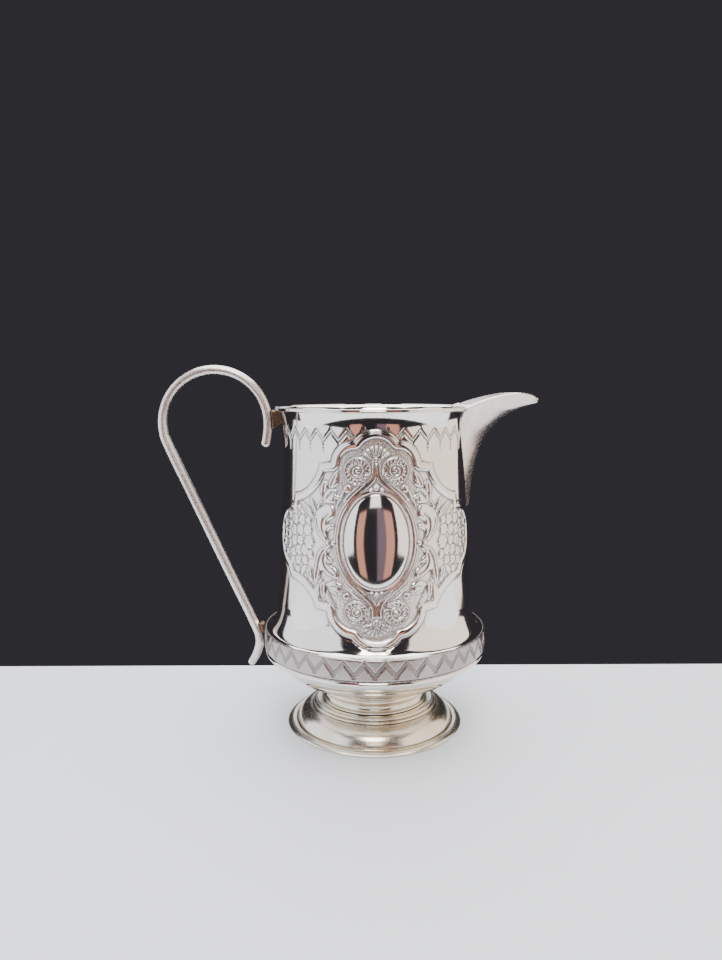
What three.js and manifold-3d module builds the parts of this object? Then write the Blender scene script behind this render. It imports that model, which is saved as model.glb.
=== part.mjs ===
// A silver cream jug on a spread foot: a rolled drum that flares into a girdle, a spun bowl under it,
// a moulded stem, a sheet spout and a handle bent from round wire. Millimetres, +Z up. The jug's axis
// is Z, its foot stands on z = 0, the spout points along +X and the handle along -X.
import * as THREE from "three";
import { mergeVertices } from "three/addons/utils/BufferGeometryUtils.js";
import Module from "manifold-3d";

const wasm = await Module();
wasm.setup();

// ---- Driving dimensions ----
const SHEET = 0.9; // wall of the rolled and spun sheet
const SOLDER_GAP = 0.3; // room that solder fills between two pieces

const FOOT_RADIUS = 31.4;
const FOOT_BRIM_WIDTH = 3.4;
const FOOT_BRIM_THICKNESS = 1.3;
const FOOT_EDGE_ROUND = 0.5;
const FOOT_DOME_RISE = 5.1;
const FOOT_CROWN_RADIUS = 22.0; // where the dome turns flat under the stem
const STEM_BORE_RADIUS = 16.9;
const STEM_RING_RADIUS = 22.3;
const STEM_RING_HEIGHT = 1.9;
const STEM_NECK_RADIUS = 17.8;
const STEM_TOP_RADIUS = 20.6;
const STEM_COLLAR_HEIGHT = 6.4;

const BOWL_BASE_RADIUS = 20.9;
const BOWL_HEIGHT = 13.0; // from its base to the waist under the girdle
const BOWL_FULLNESS = 2.7; // how far the flank is pulled out beyond a straight cone
const BEAD_SEAT = 2.7; // upright strip under the girdle where the bead sits
const BOWL_LAND_HEIGHT = 4.3; // the upright land that the girdle band is soldered to
const GIRDLE_RADIUS = 39.4;
const GIRDLE_THICKNESS = 0.8;
const GIRDLE_HEIGHT = 7.1;
const BEAD_RADIUS = 0.95;

const DRUM_HEIGHT = 77.3; // from the top of the girdle to the lip of the drum
const DRUM_LIP_RADIUS = 31.75; // just below the flare of the lip
const LIP_FLARE = 2.1; // how far the lip turns out
const LIP_FLARE_HEIGHT = 6.5;
const DRUM_FOOT_RADIUS = 34.3; // at the top of the cove
const DRUM_STRAIGHT = 8.0; // upright stretch below the lip
const COVE_HEIGHT = 10.2;
const RIM_WIRE_HEIGHT = 1.3;
const RIM_WIRE_THICKNESS = 0.5;
const RIM_WIRE_PROUD = 0.3; // how far the wire stands above the lip

const SPOUT_REACH = 57.0; // from the jug's axis to the tip
const SPOUT_ROOT_DROP = 37.5; // from the lip down to the foot of the keel
const SPOUT_TIP_RISE = 1.4; // from the lip up to the tip
const SPOUT_CREST_RISE = 4.4; // from the lip up to the highest point of the edges
const SPOUT_MOUTH_ANGLE = 27.0; // degrees from +X to the joint at the lip
const SPOUT_NOSE = 0.22; // roundness of the keel, 0 for a sharp fold
const SPOUT_CUT_MARGIN = 1.4; // how far the opening in the drum stays inside the joint

const HANDLE_WIRE_DIAMETER = 3.5;
const HANDLE_LOOP_RADIUS = 18.4; // on the wire's centre line
const HANDLE_LOOP_DROP = 5.3; // from the lip down to the loop's centre
const HANDLE_STANDOFF = 0.7; // between the rim wire and the handle
const UPPER_TAIL_LENGTH = 8.6; // below the loop's centre
const UPPER_TAIL_SWEEP = 1.2; // how far the upper tail turns out
const LOWER_CONTACT_DROP = 4.2; // from the girdle's top edge down to where the wire touches it
const LOWER_TAIL_LENGTH = 11.6;
const LOWER_TAIL_SWEEP = 3.7; // how far the lower tail turns out

// ---- Heights, from the foot up ----
const domeFootZ = FOOT_BRIM_THICKNESS + 0.3;
const domeTopZ = domeFootZ + FOOT_DOME_RISE;
const stemRingZ = domeTopZ + SOLDER_GAP;
const collarZ = stemRingZ + STEM_RING_HEIGHT + SOLDER_GAP;
const bowlZ = collarZ + STEM_COLLAR_HEIGHT + SOLDER_GAP;
const waistZ = bowlZ + BOWL_HEIGHT;
const girdleTopZ = waistZ + GIRDLE_HEIGHT;
const seamZ = waistZ + BOWL_LAND_HEIGHT;
const coveZ = girdleTopZ - 0.2; // the cove leaves the girdle just below its top edge
const coveTopZ = coveZ + COVE_HEIGHT;
const lipZ = girdleTopZ + DRUM_HEIGHT;
const landRadius = GIRDLE_RADIUS - GIRDLE_THICKNESS - SOLDER_GAP;
const waistRadius = GIRDLE_RADIUS - 2.5;
const lipRadius = DRUM_LIP_RADIUS + LIP_FLARE;
const flareZ = lipZ - LIP_FLARE_HEIGHT;

// ---- Shapes ----
const SIDES = 40;

function arc(centreR, centreZ, radiusR, radiusZ, from, to, steps) {
  return Array.from({ length: steps + 1 }, (_, i) => {
    const a = THREE.MathUtils.degToRad(from + ((to - from) * i) / steps);
    return new THREE.Vector2(centreR + radiusR * Math.cos(a), centreZ + radiusZ * Math.sin(a));
  });
}

function at(r, z) {
  return new THREE.Vector2(r, z);
}

// A solid turned about Z. The outline runs anticlockwise in (radius, height).
function turned(outline, closed) {
  const points = closed ? [...outline, outline[0]] : outline;
  return new THREE.LatheGeometry(points, SIDES).rotateX(Math.PI / 2);
}

// The outer radius of the drum at a height, down through the cove to the girdle.
function drumRadius(z) {
  if (z <= coveZ) return landRadius;
  if (z < coveTopZ) {
    const fall = (coveTopZ - z) / COVE_HEIGHT;
    return landRadius - (landRadius - DRUM_FOOT_RADIUS) * Math.sqrt(1 - fall * fall);
  }
  const straightZ = lipZ - DRUM_STRAIGHT;
  const share = Math.max(0, (straightZ - z) / (straightZ - coveTopZ));
  const turnOut = Math.max(0, (z - flareZ) / LIP_FLARE_HEIGHT);
  return DRUM_LIP_RADIUS + (DRUM_FOOT_RADIUS - DRUM_LIP_RADIUS) * Math.pow(share, 1.7)
    + LIP_FLARE * turnOut * turnOut;
}

// Heights along the drum from the cove's foot to the lip, closer together in the cove and the flare.
function drumHeights(coveSteps, wallSteps, flareSteps) {
  const cove = Array.from({ length: coveSteps }, (_, i) =>
    coveTopZ - COVE_HEIGHT * Math.cos((i / coveSteps) * (Math.PI / 2)));
  const wall = Array.from({ length: wallSteps }, (_, i) =>
    coveTopZ + ((flareZ - coveTopZ) * i) / wallSteps);
  const flare = Array.from({ length: flareSteps + 1 }, (_, i) =>
    flareZ + (LIP_FLARE_HEIGHT * i) / flareSteps);
  return [...cove, ...wall, ...flare];
}

function solidOf(geometry) {
  const bare = new THREE.BufferGeometry();
  bare.setAttribute("position", geometry.getAttribute("position"));
  if (geometry.index) bare.setIndex(geometry.index);
  const merged = mergeVertices(bare, 1e-4);
  return new wasm.Manifold(new wasm.Mesh({
    numProp: 3,
    vertProperties: merged.attributes.position.array,
    triVerts: new Uint32Array(merged.index.array),
  }));
}

function geometryOf(solid) {
  const mesh = solid.getMesh();
  const geometry = new THREE.BufferGeometry();
  geometry.setAttribute("position", new THREE.BufferAttribute(mesh.vertProperties, 3));
  geometry.setIndex(new THREE.BufferAttribute(mesh.triVerts, 1));
  geometry.computeVertexNormals();
  return geometry;
}

// A bent sheet between two grids of points, closed along its four edges.
function sheetSolid(outer, inner) {
  const rows = outer.length;
  const columns = outer[0].length;
  const positions = [...outer, ...inner].flat().flatMap((p) => [p.x, p.y, p.z]);
  const index = [];
  const skin = rows * columns;
  const quad = (a, b, c, d) => index.push(a, b, c, a, c, d);
  for (let i = 0; i < rows - 1; i++) {
    for (let j = 0; j < columns - 1; j++) {
      const a = i * columns + j;
      quad(a, a + 1, a + columns + 1, a + columns);
      quad(skin + a, skin + a + columns, skin + a + columns + 1, skin + a + 1);
    }
  }
  for (let j = 0; j < columns - 1; j++) {
    const top = (rows - 1) * columns + j;
    quad(j, skin + j, skin + j + 1, j + 1);
    quad(top, top + 1, skin + top + 1, skin + top);
  }
  for (let i = 0; i < rows - 1; i++) {
    const left = i * columns;
    const right = left + columns - 1;
    quad(left, left + columns, skin + left + columns, skin + left);
    quad(right, skin + right, skin + right + columns, right + columns);
  }
  const geometry = new THREE.BufferGeometry();
  geometry.setAttribute("position", new THREE.Float32BufferAttribute(positions, 3));
  geometry.setIndex(index);
  return geometry;
}

// ---- Foot ----
function footBrim() {
  const inner = FOOT_RADIUS - FOOT_BRIM_WIDTH;
  const edge = FOOT_RADIUS - FOOT_EDGE_ROUND;
  return turned([
    at(inner, 0),
    ...arc(edge, FOOT_EDGE_ROUND, FOOT_EDGE_ROUND, FOOT_EDGE_ROUND, -90, 0, 2),
    ...arc(edge, FOOT_BRIM_THICKNESS - FOOT_EDGE_ROUND, FOOT_EDGE_ROUND, FOOT_EDGE_ROUND, 0, 90, 2),
    at(inner, FOOT_BRIM_THICKNESS),
  ], true);
}

function footDome() {
  const skirt = FOOT_RADIUS - FOOT_BRIM_WIDTH - SOLDER_GAP;
  const spread = skirt - FOOT_CROWN_RADIUS;
  return turned([
    at(skirt - SHEET, SOLDER_GAP),
    at(skirt, SOLDER_GAP),
    ...arc(FOOT_CROWN_RADIUS, domeFootZ, spread, FOOT_DOME_RISE, 0, 90, 6),
    at(STEM_BORE_RADIUS, domeTopZ),
    at(STEM_BORE_RADIUS, domeTopZ - SHEET),
    ...arc(FOOT_CROWN_RADIUS, domeFootZ, spread - SHEET, FOOT_DOME_RISE - SHEET, 90, 0, 4),
  ], true);
}

// ---- Stem ----
function stemRing() {
  const lower = STEM_RING_HEIGHT * 0.55;
  const upper = STEM_RING_HEIGHT - lower;
  const step = STEM_RING_RADIUS - 1.7;
  return turned([
    at(STEM_BORE_RADIUS, stemRingZ),
    ...arc(STEM_RING_RADIUS - lower / 2, stemRingZ + lower / 2, lower / 2, lower / 2, -90, 90, 4),
    ...arc(step - upper / 2, stemRingZ + lower + upper / 2, upper / 2, upper / 2, -80, 90, 4),
    at(STEM_BORE_RADIUS, stemRingZ + STEM_RING_HEIGHT),
  ], true);
}

function stemCollar() {
  const top = collarZ + STEM_COLLAR_HEIGHT;
  const bead = STEM_COLLAR_HEIGHT * 0.1;
  const neckHeight = STEM_COLLAR_HEIGHT * 0.5;
  const flare = STEM_TOP_RADIUS - 0.9 - STEM_NECK_RADIUS;
  return turned([
    at(STEM_BORE_RADIUS, collarZ),
    at(STEM_NECK_RADIUS + 1.0, collarZ),
    ...arc(STEM_NECK_RADIUS + flare, collarZ + neckHeight * 0.45, flare, neckHeight * 0.55, 230, 110, 5),
    ...arc(STEM_TOP_RADIUS - 0.4 - bead, top - 4.2 * bead, bead, 1.8 * bead, -80, 80, 3),
    ...arc(STEM_TOP_RADIUS - bead, top - 1.1 * bead, bead, bead, -80, 90, 3),
    at(STEM_BORE_RADIUS, top),
  ], true);
}

// ---- Vessel ----
function lowerBowl() {
  const shoulderZ = waistZ + 1.6;
  const wall = SHEET * 1.2; // the wall measured straight up through the sloping flank
  const flank = new THREE.QuadraticBezierCurve(
    at(BOWL_BASE_RADIUS, bowlZ),
    at(
      (BOWL_BASE_RADIUS + waistRadius) / 2 + BOWL_FULLNESS,
      bowlZ + (BOWL_HEIGHT - BEAD_SEAT) / 2 - BOWL_FULLNESS,
    ),
    at(waistRadius - 0.3, waistZ - BEAD_SEAT),
  ).getPoints(5);
  return turned([
    at(0, bowlZ),
    ...flank,
    at(waistRadius, waistZ),
    at(landRadius, shoulderZ),
    at(landRadius, seamZ),
    at(landRadius - SHEET, seamZ),
    at(landRadius - SHEET, shoulderZ + SHEET),
    at(waistRadius - SHEET, waistZ + 0.6),
    ...flank.map((p) => at(p.x - 0.4, p.y + wall)).reverse(),
    at(0, bowlZ + SHEET),
  ]);
}

function drumBlank() {
  const heights = drumHeights(4, 6, 3);
  const outside = heights.map((z) => at(drumRadius(z), z));
  const inside = heights.map((z) => at(drumRadius(z) - SHEET, z)).reverse();
  const foot = seamZ + SOLDER_GAP;
  return turned([
    at(landRadius - SHEET, foot),
    at(landRadius, foot),
    ...outside,
    ...inside,
  ], true);
}

function girdleBand() {
  const inner = GIRDLE_RADIUS - GIRDLE_THICKNESS;
  const bevel = 0.25;
  return turned([
    at(inner, waistZ),
    at(GIRDLE_RADIUS - bevel, waistZ),
    at(GIRDLE_RADIUS, waistZ + bevel),
    at(GIRDLE_RADIUS, girdleTopZ - bevel),
    at(GIRDLE_RADIUS - bevel, girdleTopZ),
    at(inner, girdleTopZ),
  ], true);
}

function girdleBead() {
  const centre = GIRDLE_RADIUS - BEAD_RADIUS - 0.35;
  return turned(
    arc(centre, waistZ - SOLDER_GAP - BEAD_RADIUS, BEAD_RADIUS, BEAD_RADIUS, 0, 320, 8), true);
}

function rimWireBlank() {
  const inner = lipRadius + SOLDER_GAP;
  const half = RIM_WIRE_HEIGHT / 2;
  const middle = lipZ + RIM_WIRE_PROUD - half;
  return turned([
    at(inner, middle - half),
    ...arc(inner, middle, RIM_WIRE_THICKNESS, half, -80, 80, 4),
    at(inner, middle + half),
  ], true);
}

// ---- Spout ----
const spoutRootZ = lipZ - SPOUT_ROOT_DROP;
const spoutRootX = drumRadius(spoutRootZ) + SHEET;
const spoutTip = at(SPOUT_REACH, lipZ + SPOUT_TIP_RISE);
const overhang = SPOUT_REACH - spoutRootX;

// The keel hugs the drum, then sweeps out to the tip.
const keel = new THREE.CubicBezierCurve(
  at(spoutRootX, spoutRootZ),
  at(spoutRootX + 0.05 * overhang, spoutRootZ + 0.68 * SPOUT_ROOT_DROP),
  at(spoutRootX + 0.216 * overhang, lipZ - 0.1 * SPOUT_ROOT_DROP),
  spoutTip,
);

// The angle from +X at which the spout meets the drum, by its share of the way up to the lip.
function jointAngle(share) {
  return THREE.MathUtils.degToRad(SPOUT_MOUTH_ANGLE * Math.pow(Math.sin((share * Math.PI) / 2), 0.8));
}

const mouthX = lipRadius * Math.cos(jointAngle(1));
const mouthY = lipRadius * Math.sin(jointAngle(1));
const tipHalfWidth = 0.9;

// One free edge of the spout, from the lip over its crest to the tip.
const edge = new THREE.CatmullRomCurve3([
  [0, 0],
  [0.26, 0.55],
  [0.52, 0.92],
  [0.8, 1],
  [0.95, 0.82],
].map(([along, rise]) => new THREE.Vector3(
  mouthX + (SPOUT_REACH - mouthX) * along,
  mouthY * Math.pow(1 - along, 0.9) + tipHalfWidth * along,
  lipZ + SPOUT_CREST_RISE * rise,
)).concat(new THREE.Vector3(SPOUT_REACH - 0.3, tipHalfWidth, spoutTip.y)));

function spoutRows() {
  const rows = [];
  const wallRows = 7;
  const lipRows = 7;
  const rootShare = 0.08; // the keel dies into the drum just above its foot
  const keelAtLip = 0.86; // the keel's share reached where the joint meets the lip
  for (let i = 0; i <= wallRows; i++) {
    const share = rootShare + ((1 - rootShare) * i) / wallRows;
    const low = keel.getPoint(keelAtLip * share);
    const z = spoutRootZ + SPOUT_ROOT_DROP * share;
    const r = drumRadius(z) - SHEET / 2;
    const a = jointAngle(share);
    rows.push([low, new THREE.Vector3(r * Math.cos(a), r * Math.sin(a), z)]);
  }
  for (let i = 1; i <= lipRows; i++) {
    const share = i / lipRows;
    rows.push([keel.getPoint(keelAtLip + (1 - keelAtLip) * share), edge.getPoint(share)]);
  }
  return rows;
}

function spoutSkin() {
  const across = 12;
  return spoutRows().map(([low, high]) => Array.from({ length: across + 1 }, (_, j) => {
    const side = (2 * j) / across - 1;
    const nose = Math.hypot(side, SPOUT_NOSE) - SPOUT_NOSE;
    const share = nose / (Math.hypot(1, SPOUT_NOSE) - SPOUT_NOSE);
    return new THREE.Vector3(
      low.x + (high.x - low.x) * share,
      high.y * side,
      low.y + (high.z - low.y) * share,
    );
  }));
}

// The same grid moved in by the wall, along the normals of the skin.
function movedIn(grid, wall) {
  const last = grid.length - 1;
  const end = grid[0].length - 1;
  return grid.map((row, i) => row.map((point, j) => {
    const up = grid[Math.min(i + 1, last)][j].clone().sub(grid[Math.max(i - 1, 0)][j]);
    const over = row[Math.min(j + 1, end)].clone().sub(row[Math.max(j - 1, 0)]);
    return point.clone().addScaledVector(over.cross(up).normalize(), -wall);
  }));
}

// Everything that the drum and its solder fill, so the spout's edge stops against it.
function drumEnvelope() {
  const heights = drumHeights(4, 6, 3);
  return turned([
    at(0, coveZ),
    ...heights.map((z) => at(drumRadius(z) + SOLDER_GAP, z)),
    at(lipRadius + SOLDER_GAP, lipZ + 3 * SPOUT_CREST_RISE),
    at(0, lipZ + 3 * SPOUT_CREST_RISE),
  ]);
}

function spout() {
  const skin = spoutSkin();
  const sheet = solidOf(sheetSolid(skin, movedIn(skin, SHEET)));
  return geometryOf(sheet.subtract(solidOf(drumEnvelope())));
}

// A wedge seen from the spout's side, extruded along X through one wall of the drum.
function wedgeAlongX(outline) {
  const shape = new THREE.Shape(outline);
  const prism = new THREE.ExtrudeGeometry(shape, { depth: 2 * SPOUT_REACH, bevelEnabled: false });
  return prism.applyMatrix4(new THREE.Matrix4().makeBasis(
    new THREE.Vector3(0, 1, 0), new THREE.Vector3(0, 0, 1), new THREE.Vector3(1, 0, 0)));
}

function drumShell() {
  const steps = 6;
  const right = Array.from({ length: steps + 1 }, (_, i) => {
    const share = 0.25 + (0.75 * i) / steps;
    const z = spoutRootZ + SPOUT_ROOT_DROP * share;
    return at(drumRadius(z) * Math.sin(jointAngle(share)) - SPOUT_CUT_MARGIN, z);
  });
  const top = at(right[steps].x, lipZ + 5);
  const half = [...right, top];
  const opening = wedgeAlongX([...half, ...half.map((p) => at(-p.x, p.y)).reverse()]);
  return geometryOf(solidOf(drumBlank()).subtract(solidOf(opening)));
}

function rimWire() {
  const half = mouthY + SHEET + SOLDER_GAP;
  const reach = 9;
  const gap = wedgeAlongX([
    at(half, lipZ - reach),
    at(half, lipZ + reach),
    at(-half, lipZ + reach),
    at(-half, lipZ - reach),
  ]);
  return geometryOf(solidOf(rimWireBlank()).subtract(solidOf(gap)));
}

// ---- Handle ----
const WIRE_SIDES = 5;
const WIRE_STEPS = 52;
const wireRadius = HANDLE_WIRE_DIAMETER / 2;
const upperX = -(lipRadius + SOLDER_GAP + RIM_WIRE_THICKNESS + HANDLE_STANDOFF + wireRadius);
const lowerContact = at(-(GIRDLE_RADIUS + SOLDER_GAP + wireRadius), girdleTopZ - LOWER_CONTACT_DROP);
const loopCentre = at(upperX - HANDLE_LOOP_RADIUS, lipZ - HANDLE_LOOP_DROP);

// The straight stretch touches the loop on its outer side.
function loopTouch() {
  const toContact = lowerContact.clone().sub(loopCentre);
  const turn = Math.acos(HANDLE_LOOP_RADIUS / toContact.length());
  return toContact.angle() - turn;
}

function loopPoint(a) {
  return at(
    loopCentre.x + HANDLE_LOOP_RADIUS * Math.cos(a),
    loopCentre.y + HANDLE_LOOP_RADIUS * Math.sin(a),
  );
}

// The wire's centre at a height on the straight stretch.
function straightX(z) {
  const top = loopPoint(loopTouch());
  return lowerContact.x + ((top.x - lowerContact.x) * (z - lowerContact.y)) / (top.y - lowerContact.y);
}

function handlePath() {
  const turns = 14;
  const touch = loopTouch();
  const loop = Array.from({ length: turns + 1 }, (_, i) => loopPoint((touch * i) / turns));
  const straight = [0.25, 0.5, 0.75, 0.93].map((share) =>
    loop[turns].clone().lerp(lowerContact, share));
  const points = [
    at(upperX - UPPER_TAIL_SWEEP, loopCentre.y - UPPER_TAIL_LENGTH),
    at(upperX - 0.25 * UPPER_TAIL_SWEEP, loopCentre.y - 0.5 * UPPER_TAIL_LENGTH),
    ...loop,
    ...straight,
    at(lowerContact.x, lowerContact.y - 1.5),
    at(lowerContact.x - 0.3 * LOWER_TAIL_SWEEP, lowerContact.y - 0.6 * LOWER_TAIL_LENGTH),
    at(lowerContact.x - LOWER_TAIL_SWEEP, lowerContact.y - LOWER_TAIL_LENGTH),
  ];
  return new THREE.CatmullRomCurve3(points.map((p) => new THREE.Vector3(p.x, 0, p.y)));
}

function wireAlong(path, radius, sides, steps) {
  const section = new THREE.Shape();
  section.absarc(0, 0, radius, 0, 2 * Math.PI, false);
  return new THREE.ExtrudeGeometry(section, {
    steps,
    curveSegments: sides,
    bevelEnabled: false,
    extrudePath: path,
  });
}

function handle() {
  return wireAlong(handlePath(), wireRadius, WIRE_SIDES, WIRE_STEPS);
}

// A lump of hard solder: an outline in the XZ plane with a thickness along Y.
function solderLump(outline, width) {
  const shape = new THREE.Shape(outline);
  const lump = new THREE.ExtrudeGeometry(shape, { depth: width, bevelEnabled: false });
  return lump.rotateX(Math.PI / 2).translate(0, width / 2, 0);
}

// A fillet under the lip, between its flare and the wire.
function upperHandleJoint() {
  const top = lipZ + RIM_WIRE_PROUD - RIM_WIRE_HEIGHT - SOLDER_GAP;
  const low = flareZ + 1.5;
  const lump = solidOf(solderLump([
    at(upperX, low - 3.4),
    at(-(drumRadius(low) + SOLDER_GAP), low),
    at(-(drumRadius(top) + SOLDER_GAP), top),
    at(upperX, top),
  ], 2.2));
  const clear = solidOf(wireAlong(handlePath(), wireRadius + SOLDER_GAP, WIRE_SIDES, WIRE_STEPS));
  return geometryOf(lump.subtract(clear));
}

function lowerHandleJoint() {
  const face = -(GIRDLE_RADIUS + SOLDER_GAP);
  const low = lowerContact.y + 0.8;
  const high = girdleTopZ - 0.2;
  const lump = solidOf(solderLump([
    at(face, low),
    at(straightX(low) + 0.4 * wireRadius, low),
    at(straightX(high) + 0.4 * wireRadius, high),
    at(face, high),
  ], 2.4));
  const clear = solidOf(wireAlong(handlePath(), wireRadius + SOLDER_GAP, WIRE_SIDES, WIRE_STEPS));
  return geometryOf(lump.subtract(clear));
}

// ---- Assembly ----
const polished = { color: "#c9c7c3", roughness: 0.12, metalness: 1 };
const toned = { color: "#b3a68f", roughness: 0.24, metalness: 1 };
const fired = { color: "#6f5546", roughness: 0.45, metalness: 0.8 };

const jug = new THREE.Group();
function piece(name, geometry, finish) {
  const mesh = new THREE.Mesh(geometry, new THREE.MeshStandardMaterial(finish));
  mesh.name = name;
  jug.add(mesh);
}

piece("foot_brim", footBrim(), toned);
piece("foot_dome", footDome(), toned);
piece("stem_ring", stemRing(), toned);
piece("stem_collar", stemCollar(), toned);
piece("lower_bowl", lowerBowl(), polished);
piece("drum_shell", drumShell(), polished);
piece("girdle_band", girdleBand(), polished);
piece("girdle_bead", girdleBead(), polished);
piece("rim_wire", rimWire(), polished);
piece("spout", spout(), polished);
piece("handle", handle(), polished);
piece("upper_handle_joint", upperHandleJoint(), fired);
piece("lower_handle_joint", lowerHandleJoint(), fired);

export default jug;
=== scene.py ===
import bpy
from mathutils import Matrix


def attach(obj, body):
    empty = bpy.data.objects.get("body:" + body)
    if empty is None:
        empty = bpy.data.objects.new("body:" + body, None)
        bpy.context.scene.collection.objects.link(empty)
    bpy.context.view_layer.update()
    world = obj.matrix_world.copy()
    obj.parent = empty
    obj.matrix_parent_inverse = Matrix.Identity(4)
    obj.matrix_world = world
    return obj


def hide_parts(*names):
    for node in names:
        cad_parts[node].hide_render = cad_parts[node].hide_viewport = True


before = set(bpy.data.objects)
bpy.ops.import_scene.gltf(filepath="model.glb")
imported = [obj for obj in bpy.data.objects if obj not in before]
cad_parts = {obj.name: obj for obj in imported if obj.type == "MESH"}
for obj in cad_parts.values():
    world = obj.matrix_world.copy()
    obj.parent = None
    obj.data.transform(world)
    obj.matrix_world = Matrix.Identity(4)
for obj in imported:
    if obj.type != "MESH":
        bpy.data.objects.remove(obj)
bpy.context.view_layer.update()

import math

import bpy
import numpy as np
from mathutils import Matrix, Vector

MM = 0.001

# ---- Foot ----
# The foot is two pieces of sterling silver: a heavy turned brim that the jug stands on, and a dome spun
# from sheet that is soldered inside it. Years of polish leave it warm in the grooves and finely scratched.


def to_linear(hex_code):
    """An sRGB hex colour as linear red, green, blue and alpha."""
    channels = [int(hex_code[i:i + 2], 16) / 255 for i in (1, 3, 5)]
    linear = [c / 12.92 if c <= 0.04045 else ((c + 0.055) / 1.055) ** 2.4 for c in channels]
    return (*linear, 1.0)


def add(tree, kind, inputs=None, **settings):
    """One node with its settings. An input is a value, or an output socket to link from."""
    node = tree.nodes.new(kind)
    for name, value in settings.items():
        setattr(node, name, value)
    for name, value in (inputs or {}).items():
        if isinstance(value, bpy.types.NodeSocket):
            tree.links.new(value, node.inputs[name])
        else:
            node.inputs[name].default_value = value
    return node


def worn_silver(name, bright, deep, haze, cloud_mm=22.0, tone=0.5):
    """Polished sterling silver: clear reflections, hair scratches from cloths, and a brown tarnish that
    stays in the recesses. bright and deep are the clean and the toned metal, haze is the roughness."""
    material = bpy.data.materials.new(name)
    material.use_nodes = True
    tree = material.node_tree
    tree.nodes.clear()
    place = add(tree, "ShaderNodeTexCoord").outputs["Object"]
    recess = add(tree, "ShaderNodeAttribute", attribute_name="recess").outputs["Fac"]
    matting = add(tree, "ShaderNodeAttribute", attribute_name="matting").outputs["Fac"]

    # Soft clouds of toning, one every cloud_mm or so.
    clouds = add(tree, "ShaderNodeTexNoise",
                 {"Vector": place, "Scale": 1 / (cloud_mm * MM), "Detail": 4.0, "Roughness": 0.6})
    cloud_range = add(tree, "ShaderNodeMapRange",
                      {"Value": clouds.outputs["Fac"], "From Min": 0.42, "From Max": 0.72,
                       "To Min": 0.0, "To Max": tone})
    toned = add(tree, "ShaderNodeMix", {"Factor": cloud_range.outputs["Result"]}, data_type="RGBA")
    # The node has one A and one B for each kind of data, so the colour ones are set by number.
    toned.inputs[6].default_value = to_linear(bright)
    toned.inputs[7].default_value = to_linear(deep)
    stain = add(tree, "ShaderNodeMix", {"Factor": recess}, data_type="RGBA")
    tree.links.new(toned.outputs[2], stain.inputs[6])
    stain.inputs[7].default_value = to_linear("#43383a")

    # Hair scratches run in two crossed directions, 0.35 and 0.5 mm apart. Real ones are finer and would
    # not show.
    stretched = add(tree, "ShaderNodeMapping",
                    {"Vector": place, "Rotation": (0.3, 0.2, 0.9), "Scale": (1.0, 0.06, 0.5)})
    hairs = add(tree, "ShaderNodeTexNoise",
                {"Vector": stretched.outputs["Vector"], "Scale": 1 / (0.35 * MM), "Detail": 3.0,
                 "Roughness": 0.7})
    crossed = add(tree, "ShaderNodeMapping",
                  {"Vector": place, "Rotation": (1.1, 0.7, 0.1), "Scale": (0.07, 1.0, 0.6)})
    more_hairs = add(tree, "ShaderNodeTexNoise",
                     {"Vector": crossed.outputs["Vector"], "Scale": 1 / (0.5 * MM), "Detail": 2.0})
    both = add(tree, "ShaderNodeMath", operation="ADD")
    tree.links.new(hairs.outputs["Fac"], both.inputs[0])
    tree.links.new(more_hairs.outputs["Fac"], both.inputs[1])

    # Matting: the ground inside the cartouche is punched all over, about 0.4 mm a punch.
    punches = add(tree, "ShaderNodeTexVoronoi", {"Vector": place, "Scale": 1 / (0.42 * MM)})
    punched = add(tree, "ShaderNodeMath", {0: punches.outputs["Distance"], 1: matting},
                  operation="MULTIPLY")

    haze_base = add(tree, "ShaderNodeMapRange",
                    {"Value": both.outputs["Value"], "From Min": 0.7, "From Max": 1.3,
                     "To Min": haze * 0.8, "To Max": haze * 1.3})
    haze_matt = add(tree, "ShaderNodeMath",
                    {0: matting, 1: 0.12, 2: haze_base.outputs["Result"]}, operation="MULTIPLY_ADD")
    haze_all = add(tree, "ShaderNodeMath",
                   {0: recess, 1: 0.25, 2: haze_matt.outputs["Value"]}, operation="MULTIPLY_ADD")

    hair_bump = add(tree, "ShaderNodeBump",
                    {"Height": both.outputs["Value"], "Strength": 0.035, "Distance": 0.1 * MM})
    punch_bump = add(tree, "ShaderNodeBump",
                     {"Height": punched.outputs["Value"], "Strength": 0.6, "Distance": 0.18 * MM,
                      "Normal": hair_bump.outputs["Normal"]})
    shader = add(tree, "ShaderNodeBsdfPrincipled",
                 {"Base Color": stain.outputs[2], "Metallic": 1.0,
                  "Roughness": haze_all.outputs["Value"], "Normal": punch_bump.outputs["Normal"]})
    add(tree, "ShaderNodeOutputMaterial", {"Surface": shader.outputs["BSDF"]})
    return material


def bow(start, end, swell, steps=8):
    """Points from start to end on a circular arc that swells to the right of the way it goes, in mm."""
    (r0, z0), (r1, z1) = start, end
    chord = math.hypot(r1 - r0, z1 - z0)
    side = ((z1 - z0) / chord, -(r1 - r0) / chord)
    radius = (chord ** 2 / 4 + swell ** 2) / (2 * abs(swell))
    sweep = 2 * math.asin(min(1.0, chord / (2 * radius)))
    if abs(swell) > chord / 2:
        sweep = 2 * math.pi - sweep
    points = []
    for i in range(steps + 1):
        a = sweep * (i / steps - 0.5)
        along = 0.5 + math.sin(a) * radius / chord
        out = math.copysign(radius * math.cos(a) - (radius - abs(swell)), swell)
        points.append((r0 + (r1 - r0) * along + side[0] * out, z0 + (z1 - z0) * along + side[1] * out))
    return points


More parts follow.
